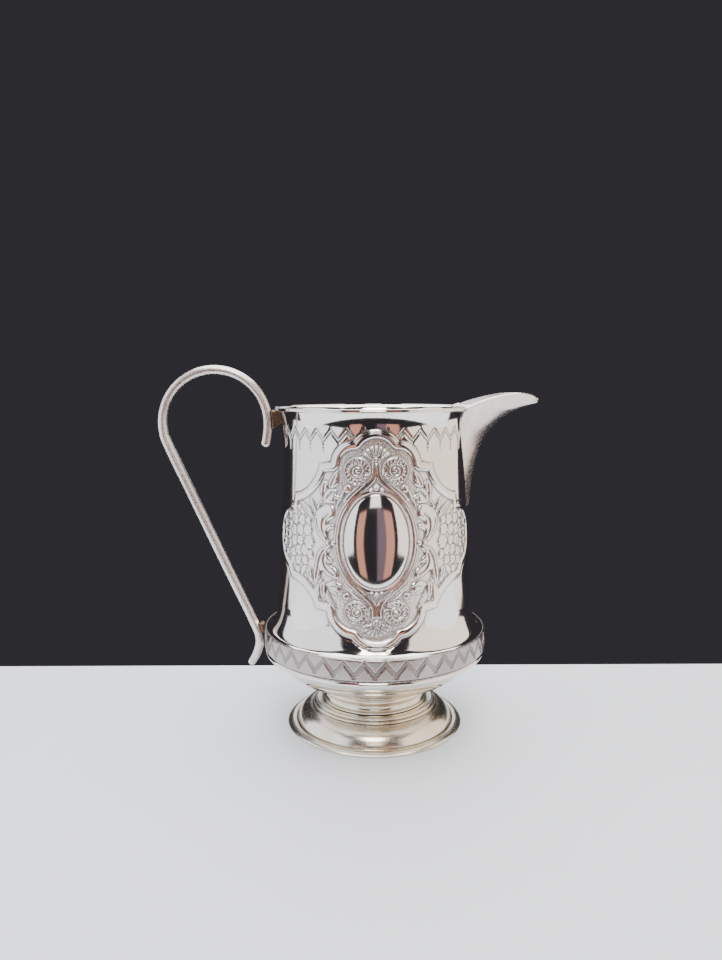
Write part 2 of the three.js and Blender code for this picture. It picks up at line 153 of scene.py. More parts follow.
def piece_from(name, verts, faces, material, crease=40):
    """A mesh object from points in mm, its faces outwards, creased where it turns by more than crease."""
    mesh = bpy.data.meshes.new(name)
    mesh.from_pydata([(x * MM, y * MM, z * MM) for x, y, z in verts], [], faces)
    mesh.validate()
    mesh.shade_smooth()
    mesh.set_sharp_from_angle(angle=math.radians(crease))
    mesh.materials.append(material)
    obj = bpy.data.objects.new(name, mesh)
    bpy.context.scene.collection.objects.link(obj)
    return obj


def turned(name, outline, material, sides=240, crease=40, recess=None):
    """A closed outline of (radius, height), anticlockwise, turned about the jug's axis."""
    ring = [p for i, p in enumerate(outline) if i == 0 or math.dist(p, outline[i - 1]) > 1e-4]
    rows = len(ring)
    verts = [(r * math.cos(a), r * math.sin(a), z)
             for a in (2 * math.pi * s / sides for s in range(sides)) for r, z in ring]
    faces = [(s * rows + i, ((s + 1) % sides) * rows + i,
              ((s + 1) % sides) * rows + (i + 1) % rows, s * rows + (i + 1) % rows)
             for s in range(sides) for i in range(rows)]
    obj = piece_from(name, verts, faces, material, crease)
    if recess:
        shade = obj.data.attributes.new("recess", "FLOAT", "POINT")
        shade.data.foreach_set("value", [recess(r, z) for _ in range(sides) for r, z in ring])
    return obj


def hold(piece, slot, *nodes):
    """Fixes a finished piece to the jug's body in place of its CAD nodes."""
    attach(piece, "root")
    if nodes:
        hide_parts(*nodes)


toned_silver = worn_silver("toned sterling silver", "#ece5d6", "#cfb890", 0.22, cloud_mm=14.0, tone=0.6)

brim_out = 31.4
brim_in = 28.0
brim = turned("foot_brim_ring", [
    (brim_in, 0.0), (30.9, 0.0),
    *bow((30.9, 0.0), (brim_out, 0.5), 0.12, 4),
    *bow((brim_out, 0.5), (28.35, 1.4), 0.42, 14),
    (28.1, 1.1), (brim_in, 0.8),
], toned_silver, sides=320, recess=lambda r, z: 0.25 if r < 28.4 and z > 0.5 else 0.0)
hold(brim, "toned_silver", "foot_brim")

dome_skirt = 27.7


def dome_recess(r, z):
    """Toning in the groove by the brim and in the one under the stem."""
    by_brim = r > 27.6 and 0.8 < z < 1.7
    under_stem = 21.9 < r < 22.7 and z > 6.2
    return 0.22 if by_brim or under_stem else 0.0


dome = turned("foot_dome_shell", [
    (26.8, 0.35), (dome_skirt, 0.35), (27.85, 1.2),
    *bow((27.85, 1.3), (22.6, 6.35), 1.15, 16),
    *bow((22.6, 6.35), (22.0, 6.68), -0.05, 3),
    (16.9, 6.7), (16.9, 5.8),
    *bow((21.8, 5.8), (26.8, 1.2), -1.0, 12),
], toned_silver, sides=320, recess=dome_recess)
hold(dome, "toned_silver", "foot_dome")

# ---- Stem ----
# Under the bowl the foot rises in a stack of turned mouldings: a stepped ring on the dome, and a waisted
# collar that is beaded at the top. Polish has worn their crests white and left brown in the quirks.

ring = turned("stem_stepped_ring", [
    (16.9, 7.0), (21.6, 7.0),
    *bow((21.6, 6.95), (21.75, 7.65), 0.32, 6),
    (20.85, 7.7),
    *bow((20.75, 7.75), (20.6, 8.62), 0.4, 7),
    (19.4, 8.7), (19.3, 8.9), (16.9, 8.9),
], toned_silver, crease=32, recess=lambda r, z: 0.3 if 20.0 < r < 21.0 and 7.6 < z < 7.85 else 0.0)
hold(ring, "toned_silver", "stem_ring")


def collar_recess(r, z):
    """Toning in the three quirks between the collar's mouldings."""
    nearest = min(abs(z - quirk) for quirk in (9.75, 13.0, 14.95))
    return 0.35 if nearest < 0.12 and r > 17.5 else 0.0


collar = turned("stem_waisted_collar", [
    (16.9, 9.2), (18.7, 9.2),
    *bow((18.75, 9.1), (18.7, 9.65), 0.25, 5),
    *bow((18.2, 9.75), (19.4, 12.9), -1.25, 14),
    (19.55, 13.0),
    *bow((19.6, 13.1), (19.7, 14.85), 0.62, 9),
    (19.9, 14.95),
    *bow((20.0, 15.0), (20.1, 15.6), 0.28, 6),
    (16.9, 15.6),
], toned_silver, crease=32, recess=collar_recess)
hold(collar, "toned_silver", "stem_collar")

# ---- Lower bowl ----
# The bottom of the vessel is a shallow bowl spun from sheet. Its flank swells a little, and its upright
# land goes up inside the girdle band, where it meets the drum.

bright_silver = worn_silver("polished sterling silver", "#efebe7", "#d6cbbd", 0.085, cloud_mm=30.0, tone=0.45)

bowl = turned("lower_bowl_shell", [
    (0.01, 15.9), (14.0, 15.9), (20.6, 15.95),
    *bow((20.9, 16.0), (36.5, 26.4), 1.9, 20),
    *bow((36.6, 26.3), (36.9, 28.9), 0.1, 4),
    (38.2, 30.5), (38.2, 33.1), (37.4, 33.1), (37.4, 31.4), (36.0, 29.6),
    *bow((35.8, 27.2), (20.5, 17.0), -1.8, 12),
    (0.01, 16.8),
], bright_silver, sides=320, recess=lambda r, z: 0.25 if r < 21.2 and z < 16.3 else 0.0)
hold(bowl, "silver", "lower_bowl")

bead_round = 0.95
bead = turned("girdle_bead_wire", [
    (38.1 + bead_round * math.cos(a), 27.65 + bead_round * math.sin(a))
    for a in (2 * math.pi * i / 16 for i in range(16))
], bright_silver, sides=320)
hold(bead, "silver", "girdle_bead")

# ---- Drum ----
# The drum is one rolled sheet that flares in a cove at its foot. A cartouche is struck into it, front and
# back: a moulded border, a plain oval boss in a double frame, scrolls, leaves and blossoms on a matted
# ground. A zigzag with falling dots is cut round it under the lip.

lip_z = 113.3
seam_z = 33.5
cove_low_z = 35.8
cove_top_z = 46.0
drum_land = 38.3
drum_foot_radius = 34.3
drum_lip_radius = 31.75
straight_top_z = 105.3
wall = 0.9
lip_flare = 2.1
flare_height = 6.5
spout_root_z = 75.8
spout_root_drop = 37.5
mouth_half_angle = 27.0
panel_mid_z = 72.2
grid_mm = 0.27


def drum_radius(z):
    """The plain drum's outer radius in mm, before anything is struck in it."""
    z = np.asarray(z, float)
    fall = np.clip((cove_top_z - z) / (cove_top_z - cove_low_z), 0, 1)
    cove = drum_land - (drum_land - drum_foot_radius) * np.sqrt(np.clip(1 - fall ** 2, 0, 1))
    share = np.clip((straight_top_z - z) / (straight_top_z - cove_top_z), 0, 1)
    straight = drum_lip_radius + (drum_foot_radius - drum_lip_radius) * share ** 1.7
    flare = lip_flare * np.clip((z - (lip_z - flare_height)) / flare_height, 0, 1) ** 2
    return np.where(z <= cove_low_z, drum_land, np.where(z < cove_top_z, cove, straight + flare))


def mouth_angle(z):
    """Half the angle, in degrees from +X, that the spout's joint takes up at a height."""
    share = np.clip((np.asarray(z, float) - spout_root_z) / spout_root_drop, 0, 1)
    return mouth_half_angle * np.sin(share * math.pi / 2) ** 0.8


def gap_to(path, u, z, closed=False):
    """Distance in mm from every (u, z) to a path, and how far along the path its nearest point is."""
    points = np.asarray(path, float)
    if closed:
        points = np.vstack([points, points[:1]])
    best = np.full(u.shape, 1e9)
    along = np.zeros(u.shape)
    travelled = 0.0
    for (u0, z0), (u1, z1) in zip(points[:-1], points[1:]):
        du, dz = u1 - u0, z1 - z0
        length = math.hypot(du, dz)
        if length < 1e-9:
            continue
        t = np.clip(((u - u0) * du + (z - z0) * dz) / length ** 2, 0, 1)
        d = np.hypot(u - u0 - t * du, z - z0 - t * dz)
        nearer = d < best
        best = np.where(nearer, d, best)
        along = np.where(nearer, travelled + t * length, along)
        travelled += length
    return best, along / max(travelled, 1e-9)


def inside_of(path, u, z):
    """True where (u, z) is inside a closed path."""
    points = np.asarray(path, float)
    odd = np.zeros(u.shape, bool)
    for (u0, z0), (u1, z1) in zip(points, np.roll(points, -1, axis=0)):
        if z0 == z1:
            continue
        hit = ((z0 > z) != (z1 > z)) & (u < (u1 - u0) * (z - z0) / (z1 - z0) + u0)
        odd ^= hit
    return odd


def roll(d, half, height):
    """A rounded moulding: height at its crest, nothing beyond half its width."""
    return height * np.sqrt(np.clip(1 - (d / half) ** 2, 0, 1))


def step(x, low, high):
    """0 below low, 1 above high, smooth between."""
    t = np.clip((x - low) / (high - low), 0, 1)
    return t * t * (3 - 2 * t)


def curve(*points, steps=10):
    """A smooth open path through the points."""
    p = [np.array(q, float) for q in points]
    p = [2 * p[0] - p[1], *p, 2 * p[-1] - p[-2]]
    path = []
    for a, b, c, d in zip(p[:-3], p[1:-2], p[2:-1], p[3:]):
        for i in range(steps):
            t = i / steps
            path.append(0.5 * (2 * b + (c - a) * t + (2 * a - 5 * b + 4 * c - d) * t ** 2
                               + (3 * b - a - 3 * c + d) * t ** 3))
    return [tuple(q) for q in path] + [tuple(p[-2])]


# Half of the border's outline, from the top lobe round to the bottom lobe: distance along the drum from
# the middle of the panel, and height, in mm.
half_outline = [
    *bow((0.0, 107.2), (7.1, 103.7), -0.94, 9),
    *bow((7.1, 103.7), (14.8, 96.7), -2.0, 10),
    (19.3, 96.2),
    *bow((19.3, 96.2), (31.5, 85.9), 2.6, 11),
    (32.0, 82.8),
    *bow((32.0, 82.8), (34.6, 60.8), -9.6, 22),
    (32.3, 57.4),
    *bow((32.3, 57.4), (19.7, 49.9), 2.4, 11),
    (15.6, 49.2),
    *bow((15.6, 49.2), (7.4, 41.4), -1.9, 10),
    *bow((7.4, 41.4), (0.0, 38.0), -0.95, 8),
]
DEGREE = 0.567  # mm along the drum for one degree
outline = half_outline + [(-u, z) for u, z in reversed(half_outline[1:-1])]


def leaf(u, z, path, width, height=0.55):
    """A narrow leaf along a path, full in its middle, with a vein down it. Gives its height and the
    distance outside its edge."""
    d, along = gap_to(path, u, z)
    half = width * np.sin(math.pi * np.clip(along, 0.03, 0.97) ** 0.8) ** 0.8
    vein = roll(d, 0.26, 0.3 * height) * (along > 0.05) * (along < 0.8)
    body = roll(d, np.maximum(half, 0.05), height)
    return np.where(body > 0, np.maximum(body - vein, 0.05), 0), d - half


def chased_leaf(u, z, edge_points, veins, height=0.62, round_over=1.1):
    """A broad leaf with a drawn edge, pillowed inside it and chased with veins."""
    edge = curve(edge_points[-1], *edge_points, edge_points[0], steps=5)[5:-1]
    gap, _ = gap_to(edge, u, z, closed=True)
    inside = inside_of(edge, u, z)
    body = height * np.sqrt(1 - (1 - np.clip(gap / round_over, 0, 1)) ** 2)
    for vein in veins:
        d, _ = gap_to(curve(*vein, steps=5), u, z)
        body = body - roll(d, 0.34, 0.3)
    return np.where(inside, np.maximum(body, 0.06), 0), np.where(inside, -gap, gap)


def blossom(u, z, cu, cz, size, petals=5, turn=0.0, height=0.5):
    """A round flower: broad petals that dip between each other, round a small raised eye."""
    r = np.hypot(u - cu, z - cz)
    a = np.arctan2(z - cz, u - cu) + turn
    wave = np.abs(np.cos(petals * a / 2))
    edge = size * (0.84 + 0.16 * wave ** 0.5)
    cup = np.sin(math.pi * np.clip(r / edge, 0, 1) ** 1.2) ** 0.6
    petal = height * (0.3 + 0.7 * cup) * (0.6 + 0.4 * wave ** 0.35)
    eye = roll(r, 0.28 * size, height)
    return np.maximum(np.where(r < edge, petal, 0), eye), r - edge


def lay(work, shape):
    """Puts a raised shape over what is there, with a narrow tooled line round it."""
    body, outside = shape
    moat = np.clip(outside / 0.3, 0, 1)
    return np.where(outside < 0, body, work * moat)


def fluted_scroll(u, z, cu, cz, size, flutes, up, height=0.6):
    """A scroll like a shell: a fine rim, curved flutes inside it, and a line that winds in to the eye."""
    v = (z - cz) * up
    r = np.hypot(u - cu, v) / size
    turn = (np.arctan2(v, u - cu) / (2 * math.pi)) % 1.0
    rim_line = roll((r - 0.93) * size, 0.36, height)
    flute = np.abs(np.cos(math.pi * (flutes * turn + 1.5 * (r - 0.5)))) ** 0.7
    band = height * (0.08 + 0.72 * flute) * step(r, 0.5, 0.6) * (1 - step(r, 0.82, 0.92))
    wind = (r / 0.3 + turn) % 1.0
    line = roll(np.minimum(wind, 1 - wind) * 0.3 * size, 0.4, 0.95 * height) * (r > 0.16) * (r < 0.62)
    eye = roll(r * size, 0.17 * size, 1.1 * height)
    body = np.maximum(np.maximum(rim_line, band), np.maximum(line, eye))
    outside = np.maximum((r - 1.0) * size, 0.75 - u)
    return np.where(outside < 0, np.maximum(body, 0.05), 0), outside


def fluted_trail(u, z, path, width, pitch, height=0.5):
    """A ribbed band that follows a path and runs out at its far end."""
    d, along = gap_to(path, u, z)
    length = sum(math.dist(p, q) for p, q in zip(path, path[1:]))
    half = width * (1 - 0.55 * along)
    ribs = np.abs(np.cos(math.pi * along * length / pitch)) ** 0.7
    body = np.maximum(roll(d, half, height * 0.3) + roll(d, half, height * 0.7) * ribs, 0)
    return body, d - half


# The foliage of one half of the panel, in mm: distance from the middle, and height. A narrow leaf is a
# path and half its width, a chased leaf is its edge and its veins.
narrow_leaves = [
    ([(19.8, 77.8), (20.6, 80.6), (19.2, 83.4), (17.4, 85.4)], 0.5),
    ([(16.9, 57.0), (15.4, 53.4), (12.6, 50.0)], 0.95),
    ([(18.0, 59.2), (19.4, 56.2), (18.8, 52.6)], 1.4),
    ([(24.2, 62.6), (26.0, 61.2), (26.4, 59.2)], 0.95),
    ([(9.9, 88.9), (10.8, 87.0), (12.2, 84.4), (13.2, 82.0)], 0.62),
    ([(10.2, 55.0), (11.6, 56.6), (12.6, 59.0)], 0.6),
]
chased_leaves = [
    ([(20.6, 79.7), (22.0, 81.2), (23.2, 82.7), (23.7, 85.2), (22.1, 84.4), (21.0, 82.9), (20.1, 81.3)],
     [[(20.8, 80.4), (22.0, 82.2), (23.2, 84.4)]]),
    ([(22.1, 78.7), (24.6, 79.7), (26.6, 81.1), (27.8, 83.4), (25.4, 82.9), (23.4, 81.7), (22.0, 80.4)],
     [[(22.6, 79.6), (24.8, 81.0), (27.0, 82.8)]]),
    ([(24.5, 61.8), (23.1, 62.6), (21.8, 61.5), (21.4, 59.7), (22.3, 57.6), (23.7, 59.2), (24.5, 60.5)],
     [[(23.2, 62.0), (22.9, 60.2), (22.4, 58.4)]]),
    ([(15.4, 88.3), (15.9, 90.1), (15.0, 92.0), (13.8, 93.5), (12.6, 94.5), (12.3, 93.2), (12.5, 91.6),
      (12.3, 90.4), (13.6, 89.1)], [[(15.2, 88.9), (14.1, 91.4), (12.9, 93.5)]]),
    ([(18.2, 85.1), (19.0, 86.7), (19.2, 88.5), (18.6, 90.2), (17.5, 91.2), (16.3, 90.4), (15.9, 89.0),
      (16.4, 87.6), (17.2, 86.3)], [[(18.0, 85.9), (17.6, 88.0), (17.4, 90.0)]]),
    ([(17.6, 84.4), (17.6, 86.4), (16.6, 87.9), (15.3, 88.6), (13.7, 88.5), (12.9, 87.8), (13.5, 87.0),
      (12.3, 86.4), (12.0, 85.4), (13.6, 85.2), (13.2, 84.3), (15.0, 83.8), (16.5, 83.8)],
     [[(17.0, 84.6), (15.7, 86.2), (14.2, 87.6)]]),
    ([(16.4, 57.5), (15.4, 58.5), (13.6, 59.1), (11.9, 58.7), (10.9, 57.8), (11.3, 56.5), (10.5, 55.5),
      (12.0, 54.8), (13.7, 55.0), (15.0, 55.9)],
     [[(16.0, 57.0), (14.0, 57.4), (11.8, 57.4)], [(15.6, 56.6), (13.8, 56.0), (11.8, 55.6)]]),
    ([(18.4, 55.5), (18.6, 57.2), (17.7, 58.5), (16.5, 57.9), (16.1, 56.4), (16.3, 54.8), (17.3, 53.4),
      (18.2, 54.1)], [[(17.4, 58.0), (17.4, 56.4), (17.3, 54.4)]]),
    ([(15.4, 71.3), (17.8, 72.1), (19.7, 73.7), (21.0, 75.9), (21.5, 77.9), (21.0, 79.8), (20.0, 81.5),
      (18.4, 82.5), (17.1, 83.3), (15.4, 83.5), (14.1, 82.8), (13.6, 81.2), (13.9, 79.6), (15.0, 78.7),
      (16.0, 78.1), (16.2, 77.1), (15.2, 77.4), (14.0, 77.1), (13.7, 76.2), (14.6, 75.8), (15.6, 75.3),
      (16.1, 74.3), (15.9, 72.9), (15.2, 71.7)],
     [[(15.9, 72.0), (17.5, 74.2), (18.1, 76.6), (17.5, 78.7), (15.8, 80.4)],
      [(17.7, 72.9), (19.8, 75.8), (20.3, 78.8)]]),
    ([(15.5, 71.0), (17.1, 69.8), (18.9, 68.8), (20.0, 67.0), (20.4, 65.1), (21.0, 63.1), (21.3, 61.0),
      (21.0, 58.7), (20.2, 56.4), (19.1, 58.4), (18.3, 60.5), (18.0, 62.2), (17.0, 61.6), (15.7, 60.7),
      (14.0, 60.2), (12.4, 60.0), (12.2, 61.6), (13.0, 63.0), (14.3, 63.8), (15.6, 64.6), (14.6, 64.8),
      (14.0, 65.7), (14.8, 66.1), (15.6, 66.8), (15.7, 68.0), (14.8, 69.3), (14.6, 70.5)],
     [[(16.1, 70.3), (18.0, 67.6), (19.1, 65.0), (19.6, 61.6), (20.2, 58.2)],
      [(16.9, 67.7), (17.3, 65.2), (16.0, 62.7), (13.4, 61.0)]]),
]
blossoms = [
    (41.2, 71.8, 1.4), (38.6, 75.0, 1.4), (38.6, 68.8, 1.4), (35.0, 78.2, 1.3), (36.4, 65.6, 1.2),
    (31.2, 80.0, 1.3), (32.2, 63.4, 1.3), (28.6, 81.4, 1.1), (28.8, 61.0, 1.2), (38.0, 71.9, 1.6),
    (34.6, 75.0, 1.7), (34.8, 68.6, 1.6), (26.9, 80.4, 1.2), (25.3, 64.4, 1.5), (28.6, 64.2, 1.6),
    (32.2, 66.2, 1.5), (31.0, 77.4, 1.7), (35.2, 71.8, 1.7), (27.2, 77.4, 1.8), (24.0, 77.6, 1.5),
    (31.6, 70.2, 1.8), (31.8, 73.6, 1.8), (28.6, 67.4, 1.8), (22.9, 66.6, 1.4), (28.2, 74.2, 1.9),
    (25.6, 67.7, 1.8), (28.0, 70.6, 1.7), (24.3, 74.4, 2.1), (23.6, 70.7, 2.3),
]


def struck(u, z):
    """Height in mm of the struck work at a distance from the panel's middle, and how matted it is."""
    one = np.abs(u)
    gap, _ = gap_to(outline, u, z, closed=True)
    deep = np.where(inside_of(outline, u, z), gap, -gap)

    # Border: a low ribbon with a fine line inside its outer edge, and the ground struck down within it.
    ribbon = np.sin(math.pi * np.clip(deep / 2.5, 0, 1)) ** 0.4
    height = 0.4 * ribbon - roll(deep - 0.62, 0.26, 0.16) - roll(deep + 0.28, 0.3, 0.12)
    ground = step(deep, 2.3, 2.65)
    height -= 0.3 * ground
    work = np.zeros(u.shape)

    def over(shape, reach, *details):
        """Lays one shape over the work, where it can reach."""
        (low_u, low_z), (high_u, high_z) = np.min(reach, axis=0) - 1.9, np.max(reach, axis=0) + 1.9
        near = (one > low_u) & (one < high_u) & (z > low_z) & (z < high_z)
        if near.any():
            work[near] = lay(work[near], shape(one[near], z[near], *details))

    for cu, cz, size in blossoms:
        around = [(cu - size, cz - size), (cu + size, cz + size)]
        petals = 5 if size < 1.9 else 6
        over(blossom, around, cu, cz, size, petals, cu + cz)
    for path, width in narrow_leaves:
        over(leaf, path, curve(*path), width)
    for edge_points, veins in chased_leaves:
        over(chased_leaf, edge_points, edge_points, veins)
    over(blossom, [(15.0, 70.4), (16.8, 72.2)], 16.0, 71.2, 0.8, 3)

    # Scrolls over and under the boss. A ribbed trail runs out from each along the frame to a small curl.
    trails = [[(2.6, 92.4), (3.6, 90.6), (5.8, 88.7), (8.2, 87.0), (10.2, 85.0)],
              [(2.7, 51.8), (4.2, 53.4), (6.6, 55.2), (9.0, 57.2)]]
    for trail in trails:
        over(fluted_trail, trail, curve(*trail), 1.15, 0.85)
    for cu, cz, size, count, up in ((9.3, 88.7, 1.15, 7, -1), (9.4, 54.6, 1.0, 7, 1), (6.1, 94.3, 4.4, 17, 1),
                                    (6.0, 49.5, 3.9, 15, -1)):
        over(fluted_scroll, [(cu - size, cz - size), (cu + size, cz + size)], cu, cz, size, count, up)

    # Frame: a hollowed ribbon leaves the lower scrolls, passes round the boss and closes in a neck above it.
    strand = curve((0.6, 48.6), (0.62, 50.6), (1.6, 53.0), (4.6, 55.8), (8.4, 59.4), (11.4, 64.4),
                   (12.75, 69.4), (12.8, 74.4), (11.4, 80.2), (8.2, 85.2), (4.2, 88.9), (1.4, 91.6),
                   (0.62, 94.0), (0.6, 96.2))
    d, _ = gap_to(strand, one, z)
    strand_half = 0.85
    hollowed = roll(d, strand_half, 0.6) - roll(d, 0.36, 0.3)
    work[:] = lay(work, (np.where(d < strand_half, hollowed, 0), d - strand_half))

    # Palmettes: a fan of rays over a ringed bead, at the top and the bottom.
    for cz, up, reach, count, spread in ((97.4, 1, 4.9, 7, 58), (46.2, -1, 4.3, 9, 76)):
        r = np.hypot(u, z - cz)
        a = np.degrees(np.arctan2(u, (z - cz) * up))
        gap = 2 * spread / (count - 1)
        off = np.abs((a + gap / 2) % gap - gap / 2) * math.radians(1) * r
        ray = roll(off, 0.14 + 0.075 * r, 0.5) * step(r, 1.3, 1.7) * (1 - step(r, reach - 0.5, reach))
        fan = (np.abs(a) < spread + gap * 0.4) & (r < reach)
        work[fan] = np.maximum(work, ray)[fan]
        work[:] = lay(work, (np.maximum(roll(r - 0.9, 0.34, 0.5), roll(r, 0.45, 0.6)), r - 1.2))

    # Boss: a plain oval, flat in its middle and rolled over to its edge, in a sunk groove.
    share = np.hypot(u / 10.4, (z - panel_mid_z) / 14.8)
    boss_gap = (share - 1) * 11.5
    field = 1 - step(boss_gap, 1.3, 1.65)
    dome = 0.2 + 1.0 * (1 - np.clip(share, 0, 1) ** 3.6)
    bossed = 0.2 * field - roll(boss_gap - 0.15, 0.3, 0.16) + (dome - 0.2) * (boss_gap < 0)
    work = np.where(field > 0, bossed, work)

    # Beads over, under and beside the boss.
    beads = ((0.0, 89.2, 0.95), (1.75, 88.45, 0.62), (0.0, 55.4, 0.75), (1.5, 56.0, 0.5), (14.0, 71.2, 0.9))
    for cu, cz, size in beads:
        r = np.hypot(one - cu, z - cz)
        work = lay(work, (roll(r, size, 0.8), r - size))

    matting = ground * (1 - 0.8 * step(work, 0.05, 0.25)) * step(boss_gap, 0.9, 1.3)
    return height + work * ground, matting


def zigzag(degrees, z):
    """Depth in mm of the double line cut under the lip and of the dots that fall from its points. It is
    spaced so that it closes on itself half way round the jug."""
    pitch = (90 - 16.4) / 7.5
    place = ((np.abs(degrees) - 16.4) / pitch) % 1.0
    peak = np.abs(place - 0.5) * 2
    rise = 3.1
    line = 103.7 + rise * peak
    lean = math.cos(math.atan(rise / (pitch * DEGREE / 2)))
    d = (z - line) * lean
    cut = np.maximum(roll(d + 0.42, 0.3, 0.24), roll(d - 0.42, 0.3, 0.24))
    for drop, size in ((0.95, 0.45), (1.95, 0.38), (2.8, 0.3)):
        away = np.hypot((place - 0.5) * pitch * DEGREE, z - (103.3 - drop))
        cut = np.maximum(cut, roll(away, size, 0.28))
    return cut


rows = np.concatenate([
    [seam_z, 34.6, cove_low_z],
    cove_top_z - (cove_top_z - cove_low_z) * np.cos(np.linspace(0.12, 0.62, 9) * math.pi / 2),
    np.arange(38.2, 107.4, grid_mm),
    np.linspace(107.7, lip_z, 16),
])
rows = np.unique(np.round(rows, 3))
columns = np.concatenate([np.linspace(-90, -79.6, 9), np.arange(-79.0, 79.01, grid_mm / DEGREE),
                          np.linspace(79.6, 90, 9)])


def beside_mouth(angle, z):
    """An angle from the panel's middle, drawn in where it would cross the opening under the spout."""
    limit = 90 - np.maximum(mouth_angle(z) - 2.4, 0) * (z > 85)
    return np.where(angle > 55, 55 + (angle - 55) * (limit - 55) / 35, angle)


grid_z, grid_a = np.meshgrid(rows, columns, indexing="ij")
grid_a = beside_mouth(grid_a, grid_z)
panel_turn = 0.2
panel_u = grid_a * DEGREE - panel_turn
corners = ((-0.07, -0.07), (0.07, -0.07), (-0.07, 0.07), (0.07, 0.07))
samples = [struck(panel_u + du, grid_z + dz) for du, dz in corners]
relief, matted = np.mean(samples, axis=0)
border_gap, _ = gap_to(outline, panel_u, grid_z, closed=True)
plain = ~(inside_of(outline, panel_u, grid_z) | (border_gap < 0.8))
near_mouth = step(grid_a, 62, 63.5) * (grid_z > 98)
nudges = ((-0.12, -0.07), (0.12, -0.07), (-0.12, 0.07), (0.12, 0.07))
cut = np.mean([zigzag(grid_a + da, grid_z + dz) for da, dz in nudges], axis=0)
cut = cut * plain * (1 - near_mouth)
relief = relief - cut


def half_drum(name, facing):
    """Half of the drum, struck on one face. facing is -1 for the front and 1 for the back."""
    a, z, height, matting = grid_a, grid_z, relief, matted
    smooth = height.copy()
    for _ in range(4):
        padded = np.pad(smooth, 1, mode="edge")
        smooth = (padded[:-2, 1:-1] + padded[2:, 1:-1] + padded[1:-1, :-2] + padded[1:-1, 2:]) / 4
    recess = np.clip((smooth - height) * 6.0 + cut * 1.2, 0, 0.8)

    def placed(radius, angle, level):
        t = np.radians(angle)
        x = radius * np.sin(t)
        y = radius * np.cos(t) * facing
        return np.stack([x, y, level], -1).reshape(-1, 3)

    outer = placed(drum_radius(z) + height, a, z)
    inner_rows = np.concatenate([[seam_z, cove_low_z], np.linspace(38.0, cove_top_z, 5),
                                 np.linspace(50, 106, 22), np.linspace(107, lip_z, 8)])
    zi, ai = np.meshgrid(inner_rows, np.linspace(-90, 90, 91), indexing="ij")
    ai = beside_mouth(ai, zi)
    inner = placed(drum_radius(zi) - wall, ai, zi)
    n_rows, n_cols = z.shape
    m_rows, m_cols = zi.shape
    base = len(outer)
    faces = []
    for shape, first, out in (((n_rows, n_cols), 0, True), ((m_rows, m_cols), base, False)):
        index = np.arange(shape[0] * shape[1]).reshape(shape) + first
        quads = np.stack([index[:-1, :-1], index[:-1, 1:], index[1:, 1:], index[1:, :-1]], -1).reshape(-1, 4)
        if (facing > 0) == out:
            quads = quads[:, ::-1]
        faces.extend(map(tuple, quads.tolist()))

    def zip_up(edge_a, edge_b, flip):
        """Triangles between two edges of different counts that run side by side."""
        last_a, last_b = len(edge_a) - 1, len(edge_b) - 1
        i = j = 0
        while i < last_a or j < last_b:
            ahead = j == last_b or (i < last_a and (i + 1) / last_a <= (j + 1) / last_b)
            third = edge_a[i + 1] if ahead else edge_b[j + 1]
            triangle = (edge_a[i], third, edge_b[j])
            faces.append(triangle[::-1] if flip else triangle)
            i, j = (i + 1, j) if ahead else (i, j + 1)

    o = np.arange(base).reshape(n_rows, n_cols)
    n = np.arange(m_rows * m_cols).reshape(m_rows, m_cols) + base
    turn = facing > 0
    zip_up(o[0].tolist(), n[0].tolist(), not turn)
    zip_up(o[-1].tolist(), n[-1].tolist(), turn)
    zip_up(o[:, 0].tolist(), n[:, 0].tolist(), turn)
    zip_up(o[:, -1].tolist(), n[:, -1].tolist(), not turn)

    obj = piece_from(name, np.vstack([outer, inner]).tolist(), faces, bright_silver, crease=70)
    for label, values in (("recess", recess), ("matting", matting)):
        shade = obj.data.attributes.new(label, "FLOAT", "POINT")
        every = np.concatenate([values.ravel(), np.zeros(len(inner))])
        shade.data.foreach_set("value", every.astype(np.float32))
    return obj


drum_front = half_drum("drum_front_half", -1)
drum_back = half_drum("drum_back_half", 1)
hold(drum_front, "silver", "drum_shell")
hold(drum_back, "silver")

# ---- Girdle band ----
# A strip of heavier silver is soldered over the join of drum and bowl. A double zigzag is cut round it,
# with a round punch mark at the foot of each point.

band_silver = worn_silver("brushed girdle silver", "#b0a9a5", "#857b74", 0.24, cloud_mm=12.0, tone=0.6)

band_out = 39.35
band_low = 28.9
band_high = 36.0


def band_surface():
    columns = 920
    rows = 27
    around = np.linspace(0, 360, columns, endpoint=False)
    a, z = np.meshgrid(around, np.linspace(band_low, band_high, rows), indexing="ij")
    pitch = 360 / 37
    arc = pitch * math.radians(1) * band_out
    place = ((a - 269.4) / pitch + 0.5) % 1.0
    rise = 4.0
    peak = np.abs(place - 0.5) * 2
    lean = math.cos(math.atan(rise / (arc / 2)))
    d = (z - (30.9 + rise * peak)) * lean
    cut = np.maximum(roll(d + 0.36, 0.3, 0.26), roll(d - 0.36, 0.3, 0.26))
    away = np.hypot((place - 0.5) * arc, z - 30.45)
    cut = np.where(away < 0.68, roll(away - 0.44, 0.26, 0.28), cut)
    edge = np.minimum(z - band_low, band_high - z)
    round_off = 0.35 * (1 - np.sqrt(np.clip(1 - (1 - np.clip(edge / 0.6, 0, 1)) ** 2, 0, 1)))
    r = band_out - cut - round_off
    recess = np.clip(cut * 1.8, 0, 0.42)
    return a, z, r, recess


